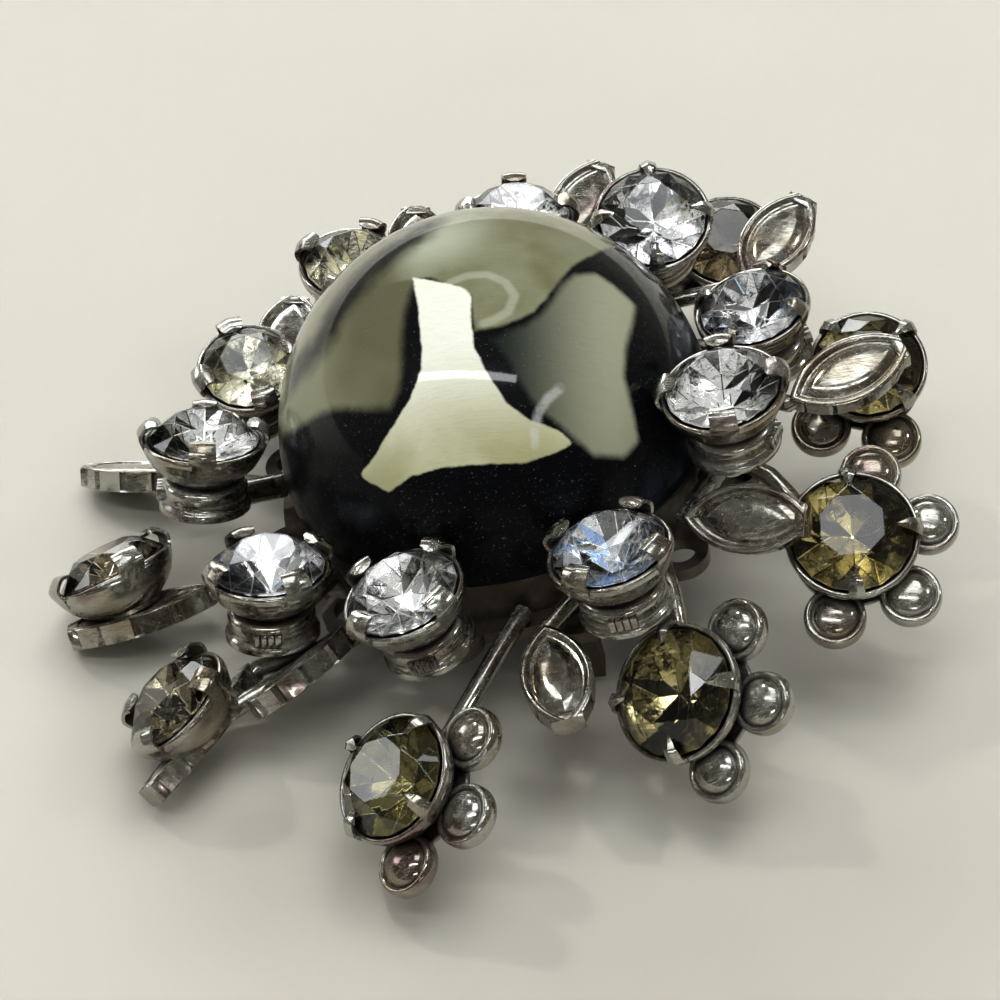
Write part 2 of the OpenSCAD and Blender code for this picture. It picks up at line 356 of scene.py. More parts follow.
@dataclass(frozen=True)
class StoneFoil(Finish):
    """Foil behind a cut stone's lower facets, each facet painted lit or shaded as a painted reflection, a few
    with a painted glint.
    """

    # Painted reflections: the first two colours paint facets lit and shaded, and the third paints a glint on
    # a few facets. The shaded colour, darker still, also colours the worn foil.
    light: Colour = (0.98, 0.98, 0.97)
    dark: Colour = (0.25, 0.25, 0.24)
    painted_glint: Colour = (0.50, 0.68, 1.0)
    worn: float = 0.6

    def draw(self, g: Graph, effects: SharedEffects) -> Inputs:
        """Draw the foil: facets painted lit and shaded, a few painted glints, and cracks where it is worn.

        Args:
            g: the material's graph.
            effects: the shared groups.

        Returns:
            What the main shader's inputs get.
        """
        facet = g.read("facet")
        # Painted reflections: random facets are painted lit or shaded, and those above 0.86 get a painted
        # glint.
        shade = g.mix(g.step(facet, 0.22, 0.4), self.dark, self.light)
        shade = g.mix(g.step(facet, 0.86, 0.88), shade, self.painted_glint)
        cracked = g.patches(1.7, 5, self.worn, self.worn + 0.06, rough=0.7)
        return {
            "Base Color": g.mix(cracked, shade, shaded(self.dark, 0.7)),
            "Metallic": 1.0,
            "Roughness": g.patches(2.0, 3, 0.4, 0.7, (0.1, 0.28)),
            "Normal": g.bump(g.noise(1.3, 3), 0.05),
        }


@dataclass(frozen=True)
class MottledPlastic(Finish):
    """Glossy plastic of pale chips in black, each chip drawn from its own distance attribute, with painted
    reflections and a painted highlight over it.
    """

    black: Colour = (0.0035, 0.0040, 0.0055)
    # Painted reflection: the blue-grey sheen near the right side of the rim.
    painted_rim_reflection: Colour = (0.022, 0.028, 0.042)
    speck: Colour = (0.12, 0.14, 0.16)
    ivory: Colour = (0.86, 0.87, 0.76)
    shade: Colour = (0.43, 0.42, 0.24)
    straw: Colour = (0.56, 0.56, 0.38)
    olive: Colour = (0.17, 0.165, 0.085)
    cream: Colour = (0.255, 0.262, 0.17)
    # Painted reflection: a pale veil of reflected light over the upper band.
    painted_reflection_tone: Colour = (0.52, 0.55, 0.43)
    # Painted reflection: a faint pale arc of reflected light.
    ring: Colour = (0.60, 0.61, 0.50)
    umber: Colour = (0.14, 0.135, 0.08)
    dusk: Colour = (0.018, 0.026, 0.022)
    fog: Colour = (0.36, 0.365, 0.265)
    # Painted highlight: a white streak of reflected light.
    painted_highlight: Colour = (0.62, 0.64, 0.62)
    dust: Colour = (0.5, 0.5, 0.45)

    def draw(self, g: Graph, effects: SharedEffects) -> Inputs:
        """Draw the chips, their marks, the painted reflections and highlight, and the gloss over them.

        Args:
            g: the material's graph.
            effects: the shared groups.

        Returns:
            What the main shader's inputs get.
        """
        drift = g.noise(0.16, 3, 0.5)
        grain = g.sway(2.0, 4, 0.22)

        def chip(name: str, soft: float) -> Socket:
            """Share of a chip at a point, from its signed distance in millimetres."""
            return g.step(g.plus(g.read(name), grain), -soft, soft)

        # Painted reflection: a broken blue-grey sheen near the rim on the right side.
        rim_sheen = g.times(g.step(g.read("rim_reflection"), 0.0, 4.0), g.patches(0.5, 3, 0.3, 0.7))
        ground = g.mix(rim_sheen, self.black, self.painted_rim_reflection)
        ground = g.mix(g.times(g.patches(5.0, 4, 0.62, 0.70, rough=0.75), 0.7), ground, self.speck)
        band = g.mix(g.step(drift, 0.38, 0.62), self.olive, self.cream)
        # Painted reflection: the band turns pale around one spot, a veil of reflected light.
        band = g.mix(g.step(g.read("pale"), 0.5, 4.5, (0.85, 0.0)), band, self.painted_reflection_tone)
        # Painted reflection: a faint pale arc of reflected light along the ring line.
        band = g.mix(g.step(g.read("ring"), 0.1, 0.4, (0.35, 0.0)), band, self.ring)
        left = g.plus(g.read("left_pale"), g.times(drift, 4.0))
        left = g.mix(g.step(left, 0.5, 3.5), self.umber, self.cream)
        fog = g.mix(g.step(g.read("fog_depth"), 0.3, 8.0), self.dusk, self.fog)
        low = g.mix(g.step(drift, 0.42, 0.6), self.shade, self.straw)
        bright = g.mix(g.step(g.read("ivory_low"), 0.0, 7.5), self.ivory, low)
        faded = g.step(g.read("band_fade"), -4.5, -1.6)
        streak = g.step(g.plus(g.read("streak"), g.sway(0.5, 3, 1.4)), 0.2, 2.2, (0.97, 0.0))
        # Painted highlight: a broken white streak of reflected light across the front of the dome.
        highlight_breaks = g.patches(1.6, 4, 0.3, 0.6, (0.1, 0.5))
        painted_highlight = g.times(g.step(g.read("painted_highlight"), 0.1, 0.42, (1.0, 0.0)), highlight_breaks)
        dust = g.times(g.patches(9.0, 2, 0.70, 0.75, rough=0.5), 0.35)
        colour = ground
        for share, over in (
            (chip("left_chip", 0.4), left),
            (g.times(chip("band_chip", 0.16), faded), band),
            (streak, self.black),
            (chip("fog_chip", 0.32), fog),
            (chip("ivory_chip", 0.09), bright),
            (painted_highlight, self.painted_highlight),
            (dust, self.dust),
        ):
            colour = g.mix(share, colour, over)
        return {
            "Base Color": colour,
            "Roughness": g.patches(1.2, 4, 0.4, 0.75, (0.3, 0.45)),
            "IOR": 1.2,
            "Coat Weight": g.step(g.read("dull"), 0.0, 4.0, (1.0, 0.1)),
            "Coat Roughness": 0.055,
            "Coat IOR": 1.42,
            "Normal": g.bump(effects.lines(g), -0.004, Normal=g.bump(g.noise(0.16, 2), 0.10)),
        }


@dataclass(frozen=True)
class PaleGround(Finish):
    """Plain pale floor."""

    tone: Colour = (0.420, 0.406, 0.354)

    def draw(self, g: Graph, effects: SharedEffects) -> Inputs:
        """Draw the floor, faintly clouded."""
        tone = g.mix(g.noise(0.05, 3), self.tone, shaded(self.tone, 0.94))
        return {"Base Color": tone, "Roughness": 0.9}


class Mould:
    """A bmesh in millimetres, with the shapes that the brooch's metal is made of."""

    def __init__(self) -> None:
        """Start empty."""
        self.bm = bmesh.new()

    def join(self, bm: bmesh.types.BMesh, place: Matrix = Matrix()) -> None:
        """Put a closed shape in, with its faces turned outwards.

        Args:
            bm: the shape, which is freed.
            place: where it goes.
        """
        bmesh.ops.recalc_face_normals(bm, faces=bm.faces)
        bmesh.ops.transform(bm, matrix=place, verts=bm.verts)
        kept = bpy.data.meshes.new("part of a mould")
        bm.to_mesh(kept)
        bm.free()
        self.bm.from_mesh(kept)
        bpy.data.meshes.remove(kept)

    def spin(self, profile: Sequence[Flat], place: Matrix = Matrix(), steps: int = ROUND_STEPS) -> None:
        """Turn a profile of radius and height about the vertical axis.

        Args:
            profile: points from one end on the axis to the other.
            place: where the turned shape goes.
            steps: number of steps round.
        """
        bm = bmesh.new()
        verts = [bm.verts.new((r, 0, z)) for r, z in profile]
        edges = [bm.edges.new(pair) for pair in zip(verts, verts[1:])]
        bmesh.ops.spin(
            bm, geom=verts + edges, cent=(0, 0, 0), axis=(0, 0, 1),
            angle=2 * math.pi, steps=steps, use_merge=True, use_duplicate=False,
        )
        bmesh.ops.remove_doubles(bm, verts=bm.verts, dist=1e-4)
        self.join(bm, place)

    def loft(self, rings: Sequence[Callable[[float], Point]], sides: int) -> None:
        """Skin a stack of rings, closed at both ends.

        Args:
            rings: for each ring, a function from the angle round it to a point.
            sides: number of points in a ring.
        """
        bm = bmesh.new()
        bmesh.ops.create_grid(bm, x_segments=len(rings) - 1, y_segments=sides, size=1.0)
        for vert in bm.verts:
            row = round((vert.co.x + 1) / 2 * (len(rings) - 1))
            turn = round((vert.co.y + 1) / 2 * sides) % sides
            vert.co = rings[row](2 * math.pi * turn / sides)
        bmesh.ops.remove_doubles(bm, verts=bm.verts, dist=1e-5)
        bmesh.ops.holes_fill(bm, edges=bm.edges[:], sides=0)
        self.join(bm)

    def tube(self, path: Sequence[Vector], radii: Sequence[float], sides: int = 14) -> None:
        """Add a round rod.

        Args:
            path: points along its middle.
            radii: its radius at each of them.
            sides: number of points round it.
        """
        rings = []
        for i, (centre, radius) in enumerate(zip(path, radii)):
            ahead = path[min(i + 1, len(path) - 1)] - path[max(i - 1, 0)]
            across = Matrix.Translation(centre) @ ahead.to_track_quat("Z", "Y").to_matrix().to_4x4()
            rings.append(lambda t, m=across, r=radius: m @ Vector((r * math.cos(t), r * math.sin(t), 0)))
        self.loft(rings, sides)

    def box(self, size: Point, place: Matrix, edge: float) -> None:
        """Add a block with rounded edges.

        Args:
            size: its length, width and height.
            place: where its middle goes.
            edge: radius of its edges.
        """
        bm = bmesh.new()
        bmesh.ops.create_cube(bm, size=1.0, matrix=Matrix.Diagonal((*size, 1.0)))
        bmesh.ops.bevel(
            bm, geom=bm.edges[:], offset=edge, segments=2, profile=0.5, affect="EDGES", material=-1,
        )
        self.join(bm, place)

    def finish(self, name: str, materials: Sequence[Material], sharp: float = 40.0) -> Piece:
        """Make the object, laid in the model's frame.

        Args:
            name: the piece's name.
            materials: materials of its slots.
            sharp: edges that turn more than this many degrees stay crisp.

        Returns:
            The new object, at the origin with its place in its mesh.
        """
        bmesh.ops.transform(self.bm, matrix=lying(), verts=self.bm.verts)
        for face in self.bm.faces:
            face.smooth = True
        for edge in self.bm.edges:
            edge.smooth = not (edge.is_manifold and edge.calc_face_angle(0.0) > math.radians(sharp))
        mesh = bpy.data.meshes.new(name)
        self.bm.to_mesh(mesh)
        self.bm.free()
        for material in materials:
            mesh.materials.append(material)
        return stand(name, mesh)


def settle(piece: Piece, slot: str, *nodes: str) -> None:
    """Ride a piece on the brooch's body.

    Args:
        piece: the piece.
        slot: name of its slot; not used.
        nodes: the CAD nodes that it takes the place of.
    """
    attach(piece, BODY)
    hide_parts(*nodes)
    LOG.info("%s: %d faces for %s", piece.name, len(piece.data.polygons), ", ".join(nodes))


def smooth_line(points: Sequence[Flat], count: int) -> list[Vector]:
    """Points spread along a smooth curve through the given ones.

    Args:
        points: points of the curve.
        count: number of points wanted.

    Returns:
        The points.
    """
    known = [Vector((*p, 0.0)) for p in points]
    known = [2 * known[0] - known[1], *known, 2 * known[-1] - known[-2]]
    spans = len(known) - 3
    line = []
    for i in range(count):
        at = min(i * spans / (count - 1), spans - 1e-9)
        k, t = int(at), at - int(at)
        a, b, c, d = known[k:k + 4]
        bend = (c - a) * t + (2 * a - 5 * b + 4 * c - d) * t * t + (3 * b - a - 3 * c + d) * t ** 3
        line.append(0.5 * (2 * b + bend))
    return line


class ClawStyle(Enum):
    """How a setting's claws are bent."""

    LOOP = "wide loop standing off the rim"
    POINT = "ridged point lying on the stone"


@dataclass
class Seat:
    """Place of a stone: its girdle's centre, its lean and the turn of its claws."""

    angle: float
    reach: float
    height: float
    lean_out: float
    lean_round: float
    claw_turn: float
    radius: float

    def place(self) -> Matrix:
        """Place of the stone's own frame.

        Returns:
            The matrix from it to the brooch's frame.
        """
        out, side = math.radians(self.lean_out), math.radians(self.lean_round)
        up = Vector((math.sin(out) * math.cos(side), math.sin(side), math.cos(out) * math.cos(side)))
        way = math.atan2(up.y, up.x)
        return (
            Matrix.Translation(polar(self.angle, self.reach, self.height))
            @ Matrix.Rotation(math.radians(self.angle) + way, 4, "Z")
            @ Matrix.Rotation(math.acos(up.z), 4, "Y")
            @ Matrix.Rotation(-way, 4, "Z")
        )

    def on_axis(self, along: float) -> Vector:
        """Point on the stone's axis, at a distance along it from the girdle."""
        return self.place() @ Vector((0, 0, along))


@dataclass
class CutStone:
    """Round stone cut with a table, 8 star, 8 kite and 16 girdle facets above and as many below."""

    seat: Seat
    crown: float = 0.40
    pavilion: float = 0.60
    table: float = 0.56
    star: float = 0.75
    lower_star: float = 0.34
    girdle: float = 0.075
    edge: float = 0.035
    one_facet: float = 0.03

    def ring(self, count: int, radius: float, height: float, turn: float = 0.0) -> list[Point]:
        """Points round the stone's axis, turned by a number of degrees."""
        turns = [2 * math.pi * i / count + math.radians(turn) for i in range(count)]
        return [(radius * math.cos(t), radius * math.sin(t), height) for t in turns]

    def build(self, name: str, materials: Sequence[Material], seed: int) -> Piece:
        """Cut the stone.

        Args:
            name: the piece's name.
            materials: glass of the crown and girdle, and foil of the facets below.
            seed: seed of the shade given to each facet.

        Returns:
            The stone.
        """
        r, g = self.seat.radius, self.girdle
        top, deep, middle = r * self.crown, r * self.pavilion, math.cos(math.radians(HALF_EIGHTH))
        star_z = g + (1 - self.star * middle) / (1 - self.table) * (top - g)
        low_z = -g - (1 - self.lower_star * middle) * (deep - g)
        bm = bmesh.new()
        points = (
            self.ring(8, r * self.table, top, HALF_EIGHTH) + self.ring(8, r * self.star, star_z)
            + self.ring(16, r, g) + self.ring(16, r, -g)
            + self.ring(8, r * self.lower_star, low_z) + [(0.0, 0.0, -deep)]
        )
        hull = bmesh.ops.convex_hull(bm, input=[bm.verts.new(p) for p in points])
        inner = [v for v in hull["geom_interior"] if isinstance(v, bmesh.types.BMVert)]
        bmesh.ops.delete(bm, geom=inner, context="VERTS")
        bmesh.ops.dissolve_limit(bm, angle_limit=self.one_facet, verts=bm.verts[:], edges=bm.edges[:])
        bm.faces.layers.float.new("edge")
        bm.faces.layers.float.new("facet")
        bevel = bmesh.ops.bevel(
            bm, geom=bm.edges[:], offset=self.edge, segments=1, profile=0.5, affect="EDGES", material=-1,
        )
        worn = bm.faces.layers.float["edge"]
        for face in bevel["faces"]:
            face[worn] = 1.0
        mould = Mould()
        mould.join(bm)
        shade = mould.bm.faces.layers.float["facet"]
        rng = random.Random(seed)
        for face in mould.bm.faces:
            face[shade] = rng.random()
            below = face.normal.z < -0.2 and face.calc_center_median().z < -g * 0.5
            face.material_index = int(below)
        place = self.seat.place() @ turned(self.seat.claw_turn)
        bmesh.ops.transform(mould.bm, matrix=place, verts=mould.bm.verts)
        return mould.finish(name, materials, sharp=1.0)


@dataclass
class Setting:
    """Open cup with four claws, added to a mould."""

    mould: Mould
    seat: Seat
    style: ClawStyle
    wall: float = 0.35
    depth: float = 2.4
    foot: float = 0.6
    sheet: float = 0.2
    along: int = 16
    across: int = 8

    def cup(self) -> None:
        """Add the cup, a thin bright rim over a wall that curves in to the foot."""
        r, foot, low = self.seat.radius, self.seat.radius * self.foot, -self.depth
        rim, well = r + self.wall, -r * 0.6 - 0.12
        self.mould.spin([
            (0, low), (foot - 0.08, low), (foot, low + 0.08), (foot + (rim - foot) * 0.42, low + 0.55),
            (foot + (rim - foot) * 0.72, low + 1.05), (rim - 0.13, -0.78), (rim - 0.10, -0.62),
            (rim - 0.02, -0.52), (rim, -0.42), (rim, -0.2), (rim - 0.03, -0.1), (rim - 0.1, -0.05),
            (rim - 0.2, -0.05), (r + 0.07, -0.12), (r + 0.05, -0.3), (r * 0.24, well), (0, well),
        ], self.seat.place())

    def claw_line(self) -> tuple[list[Flat], list[float], list[float]]:
        """Bend of a claw.

        Returns:
            Radius and height along it, then its widths and the heights of its ridge, evenly spread.
        """
        r, rim, lie = self.seat.radius, self.seat.radius + self.wall, self.seat.radius * 0.248
        if self.style is ClawStyle.LOOP:
            line = [
                (rim - 0.12, -0.80), (rim + 0.06, -0.35), (rim + 0.24, 0.12), (rim + 0.22, 0.5),
                (r + 0.05, lie + 0.22), (r * 0.87, lie + 0.22), (r * 0.78, lie + 0.12),
            ]
            widths = [0.9, 1.3, 1.55, 1.6, 1.55, 1.5, 1.4, 1.2, 0.45]
            return line, widths, [0.0, 0.05, 0.08, 0.1, 0.12, 0.1, 0.08, 0.05, 0.0]
        line = [
            (rim - 0.12, -0.75), (rim, -0.4), (rim + 0.07, 0.0), (rim, 0.34),
            (r * 0.95, lie + 0.06), (r * 0.85, lie + 0.06), (r * 0.68, lie + 0.14),
        ]
        return line, [1.1, 1.15, 1.05, 0.95, 0.75, 0.5, 0.06], [0.0, 0.04, 0.12, 0.24, 0.26, 0.2, 0.03]

    def claws(self) -> None:
        """Add the four claws."""
        line, widths, ridges = self.claw_line()
        path = smooth_line(line, self.along + 1)
        stations = np.linspace(0, 1, len(widths))
        for i in range(4):
            bm = bmesh.new()
            bmesh.ops.create_grid(bm, x_segments=self.along, y_segments=self.across, size=1.0)
            for vert in bm.verts:
                u, v = (vert.co.x + 1) / 2, vert.co.y
                point = path[round(u * self.along)]
                ridge = float(np.interp(u, stations, ridges)) * (1 - abs(v))
                reach = point.x + ridge * (1 - u)
                turn = v * float(np.interp(u, stations, widths)) / 2 / max(reach, 1.0)
                vert.co = (reach * math.cos(turn), reach * math.sin(turn), point.y + ridge * u)
            bmesh.ops.recalc_face_normals(bm, faces=bm.faces)
            bmesh.ops.solidify(bm, geom=bm.faces[:], thickness=self.sheet)
            self.mould.join(bm, self.seat.place() @ turned(self.seat.claw_turn + 90 * i))

    def build(self) -> None:
        """Add the cup and its claws."""
        self.cup()
        self.claws()


@dataclass
class Leaf:
    """Cast leaf on its stalk: faceted side wall, raised rim, sunk channel and a tip cut flat."""

    base: Vector
    tip: Vector
    bank: float
    width: float = 4.0
    thick: float = 1.3
    cut: float = 0.93
    facets: int = 12
    sides: int = 96
    groove: float = 0.34
    stalk: float = 0.5
    tip_block: Flat = (0.6, 1.85)
    top_rings: tuple[Flat, ...] = (
        (0.03, -0.12), (0.10, -0.05), (0.20, -0.01), (0.30, -0.01), (0.38, -0.06), (0.46, -0.16),
        (0.54, -0.26), (0.62, -0.27), (0.72, -0.2), (0.86, -0.12), (1.03, -0.05), (1.28, 0.0),
        (1.53, 0.02), (1.73, 0.03),
    )

    def outline(self, shrink: float, height: float, flats: bool = False) -> Callable[[float], Point]:
        """Ring of a pointed oval.

        Args:
            shrink: distance that the ring lies inside the leaf's outline.
            height: its height.
            flats: whether the ring has flat facets in place of its curve.

        Returns:
            A function from the angle round the ring to a point.
        """
        full = (self.tip - self.base).length / self.cut
        long = full / 2 - shrink * 1.3
        wide = self.width / 2 - shrink
        bow = (long * long + wide * wide) / (2 * wide)

        def on_curve(t: float) -> Flat:
            """Point of the smooth oval."""
            x = long * math.cos(t)
            return x, math.copysign(math.sqrt(max(bow * bow - x * x, 0)) - (bow - wide), math.sin(t))

        def on_flats(t: float) -> Flat:
            """Point of the flat facets, nicked in where two meet.

            Args:
                t: the angle round the ring.

            Returns:
                Its place along and across the leaf.
            """
            span = 2 * math.pi / self.facets
            k = int(t / span + 1e-6)
            share = t / span - k
            (ax, ay), (bx, by) = on_curve(k * span), on_curve((k + 1) * span)
            x, y = ax + (bx - ax) * share, ay + (by - ay) * share
            nick = 1 - self.groove / max(math.hypot(x, y), 1.0) if share < 1e-3 else 1.0
            return x * nick, y * nick

        def point(t: float) -> Point:
            """Point of the ring."""
            x, y = on_flats(t) if flats else on_curve(t)
            return full / 2 - x, y, height

        return point

    def build(self, mould: Mould, start: Vector, stalk: float) -> None:
        """Add the leaf and its stalk.

        Args:
            mould: the mould of the spray or flower that carries it.
            start: where the stalk starts.
            stalk: the stalk's radius there.
        """
        span = self.tip - self.base
        mould.tube(
            [start, (start + self.base) / 2, self.base, self.base + span * 0.08],
            [stalk, self.stalk, self.stalk, 0.3], 10,
        )
        top, length = self.thick / 2, span.length
        rings = [self.outline(0.10, -top)]
        rings += [self.outline(0.0, height, True) for height in (0.1 - top, top - 0.22)]
        rings += [self.outline(inset, top + rise) for inset, rise in self.top_rings]
        body = Mould()
        body.loft(rings, self.sides)
        cut = bmesh.ops.bisect_plane(
            body.bm, geom=body.bm.verts[:] + body.bm.edges[:] + body.bm.faces[:], dist=1e-5,
            plane_co=(length, 0, 0), plane_no=(1, 0, 0), clear_outer=True,
        )
        edges = [e for e in cut["geom_cut"] if isinstance(e, bmesh.types.BMEdge)]
        bmesh.ops.holes_fill(body.bm, edges=edges, sides=0)
        place = (
            Matrix.Translation(self.base)
            @ Matrix.Rotation(math.atan2(span.y, span.x), 4, "Z")
            @ Matrix.Rotation(-math.asin(span.z / length), 4, "Y")
            @ turned(self.bank, "X")
        )
        mould.join(body.bm, place)
        block = place @ Matrix.Translation((length - 0.28, 0, 0))
        mould.box((*self.tip_block, self.thick - 0.12), block, 0.1)


@dataclass
class Casting:
    """A cast part that grows from the hub; a child class draws it."""

    mould: Mould
    node: str
    seat: Seat
    root_angle: float
    leaves: list[Leaf]

    def shape(self) -> None:
        """Add its shapes to its mould."""
        raise NotImplementedError

    def build(self, silver: Material) -> None:
        """Build its metal and stand it for its node."""
        self.shape()
        settle(self.mould.finish(f"{self.node}_cast", (silver,)), "silvered_metal", self.node)


@dataclass
class Spray(Casting):
    """Arm from the hub, collar for a clear stone, and the leaf cast beside it."""

    arm: float = 0.75
    root_reach: float = 13.19
    root_height: float = -0.95
    collar: float = 2.45
    foot: float = 2.65
    drop: float = 3.65
    front: Flat = (200, 320)
    lug: Point = (0.68, 0.37, 0.73)
    lug_step: float = 0.405

    def shape(self) -> None:
        """Add the arm, the collar with its row of lugs, and the leaf."""
        root = polar(self.root_angle, self.root_reach, self.root_height)
        end = self.seat.on_axis(-self.drop - 0.3)
        ahead = (end - root).normalized() * self.arm * 0.45
        path = [root - ahead, root - ahead * 0.8, root, (root + end) / 2, end]
        self.mould.tube(path, [self.arm * 0.85, *[self.arm] * 4])
        foot, collar = self.foot, self.collar
        self.mould.spin([
            (0, -0.6), (foot - 0.12, -0.6), (foot, -0.5), (foot, -0.2), (foot - 0.08, -0.06),
            (collar + 0.02, 0.0), (collar - 0.04, 0.12), (collar - 0.04, 0.30), (collar, 0.36),
            (collar, 0.90), (collar - 0.06, 1.02), (collar - 0.2, 1.16), (collar - 0.3, 1.2), (0, 1.2),
        ], self.seat.place() @ Matrix.Translation((0, 0, -self.drop)))
        angle = self.seat.angle
        face = self.seat.place() @ turned(-90 - angle if self.front[0] < angle < self.front[1] else 0)
        face = face @ Matrix.Translation((collar - 0.05, 0, 0.475 - self.drop))
        for i in range(4):
            self.mould.box(self.lug, face @ Matrix.Translation((0, self.lug_step * (i - 1.5), 0)), 0.05)
        for leaf in self.leaves:
            leaf.build(self.mould, root, 0.48)


@dataclass
class Flower(Casting):
    """Bent stem, round petals and the setting of a smoky stone."""

    first_petal: float
    petals: int
    style: ClawStyle
    stem: float = 0.55
    root_reach: float = 12.965
    elbow_reach: float = 15.8
    stem_height: float = -2.035
    petal: float = 1.75
    petal_reach: float = 4.05
    petal_drop: float = 1.7
    petal_steps: int = 48
    plate_low: float = -2.6
    plate: float = 0.35
    plate_edge: float = 0.06
    petal_line: tuple[Flat, ...] = (
        (0.22, -0.8), (0.08, -0.72), (0.01, -0.56), (0.0, -0.2), (0.03, 0.02), (0.09, 0.15), (0.18, 0.2),
        (0.28, 0.19), (0.36, 0.13), (0.41, 0.05), (0.44, 0.03), (0.47, 0.08), (0.54, 0.21), (0.67, 0.34),
        (0.85, 0.45), (1.1, 0.53), (1.4, 0.58),
    )

    def petal_shape(self, turn: float) -> None:
        """Add a petal with a rolled edge, a groove and a domed bead.

        Args:
            turn: its angle round the flower, in degrees.
        """
        reach = self.petal_reach + 0.75 * (self.seat.radius - 3)
        place = self.seat.place() @ turned(turn) @ Matrix.Translation((reach, 0, -self.petal_drop))
        line = [(self.petal - inset, height) for inset, height in self.petal_line]
        self.mould.spin([(0, -0.8), *line, (0, 0.6)], place, self.petal_steps)

    def shape(self) -> None:
        """Add the stem, the setting on its plate, the petals and the leaves."""
        root = polar(self.root_angle, self.root_reach, self.stem_height)
        bend = self.root_angle + 0.35 * (self.seat.angle - self.root_angle)
        elbow = polar(bend, self.elbow_reach, self.stem_height)
        end = self.seat.on_axis(self.plate_low) - polar(self.seat.angle, 1.2, 0)
        back = (root - elbow).normalized() * self.stem * 0.45
        corner = elbow.lerp(root, 0.12) * 0.5 + elbow.lerp(end, 0.12) * 0.5
        path = [root + back, root, root.lerp(elbow, 0.6), corner, elbow.lerp(end, 0.3), end]
        self.mould.tube(path, [self.stem] * len(path))
        Setting(self.mould, self.seat, self.style).build()
        wide, edge = self.seat.radius * (1.0 if self.petals else 0.6), self.plate_edge
        low, high = self.plate_low, self.plate_low + self.plate
        self.mould.spin([
            (0, low), (wide - edge, low), (wide, low + edge),
            (wide, high - edge), (wide - edge, high), (0, high),
        ], self.seat.place())
        for i in range(self.petals):
            self.petal_shape(self.first_petal + 60 * i)
        for leaf in self.leaves:
            leaf.build(self.mould, elbow, leaf.stalk)


# Each outline and line is in millimetres on the dome's surface, laid flat from its top.
CHIPS: dict[str, tuple[Flat, ...]] = {
    "ivory_chip": (
        (-2.1, -0.6), (-0.5, -1.5), (0.7, -2.1), (1.2, -2.7), (1.1, -4.2), (1.2, -6.0), (1.8, -7.5),
        (2.7, -9.1), (4.0, -10.1), (5.8, -10.6), (6.8, -11.2), (5.5, -11.9), (3.5, -12.5), (0.9, -12.4),
        (-1.9, -12.2), (-4.1, -12.2), (-5.9, -12.6), (-7.4, -11.3), (-7.7, -10.9), (-6.2, -10.4),
        (-4.3, -9.2), (-2.9, -8.1), (-2.0, -6.7), (-1.8, -5.5), (-1.8, -3.0),
    ),
    "fog_chip": (
        (7.0, -0.6), (8.3, 0.2), (9.4, -0.2), (10.9, -1.0), (10.7, -2.4), (10.2, -4.6), (10.1, -6.5),
        (10.8, -8.3), (11.5, -10.1), (10.4, -11.4), (8.2, -11.7), (6.8, -10.9), (5.0, -9.7), (4.2, -8.9),
        (3.5, -7.7), (2.8, -6.4), (2.2, -5.6), (3.2, -5.1), (4.1, -4.7), (5.0, -4.0), (5.7, -2.9),
        (6.3, -1.6),
    ),
    "band_chip": (
        (-5.5, 3.9), (-5.0, 1.4), (-4.4, -0.2), (-1.0, -1.0), (1.2, -2.8), (1.3, -5.0), (2.7, -4.8),
        (3.7, -4.4), (4.6, -3.8), (5.4, -2.7), (6.2, -1.2), (6.9, 0.2), (8.2, 2.1), (9.6, 4.9), (10.5, 9.5),
        (6.5, 14.5), (-1.5, 15.5), (-5.5, 12.0), (-3.6, 7.0),
    ),
    "left_chip": (
        (-0.6, 3.0), (-1.4, -0.4), (-2.2, -1.5), (-2.7, -3.1), (-3.0, -4.8), (-3.2, -6.4), (-3.6, -7.5),
        (-4.3, -8.2), (-5.9, -7.7), (-8.1, -6.6), (-9.6, -6.1), (-11.1, -5.7), (-12.7, -5.1), (-15.0, -3.5),
        (-16.5, 0.5), (-14.5, 6.0), (-9.0, 9.0), (-3.4, 6.0),
    ),
}
LINES: dict[str, tuple[Flat, ...]] = {
    "streak": (
        (-1.8, 5.0), (-2.3, 3.6), (-3.4, 2.8), (-5.1, 1.7), (-6.7, 0.3), (-7.9, -1.1), (-9.3, -1.8),
        (-11.4, -1.4),
    ),
    # This line carries a painted highlight.
    "painted_highlight": ((4.3, -11.5), (4.3, -10.7), (4.6, -9.7), (5.2, -8.9), (6.0, -8.2)),
    # The ring line carries a painted reflection.
    "ring": (
        (0.1, -1.6), (1.0, -1.3), (2.1, -1.3), (3.1, -1.9), (3.6, -2.8), (3.2, -3.9), (2.4, -4.4),
        (1.8, -4.6),
    ),
}
# Centre of the painted reflection on the band.
REFLECTION_SPOT: Flat = (-1.1, 2.9)


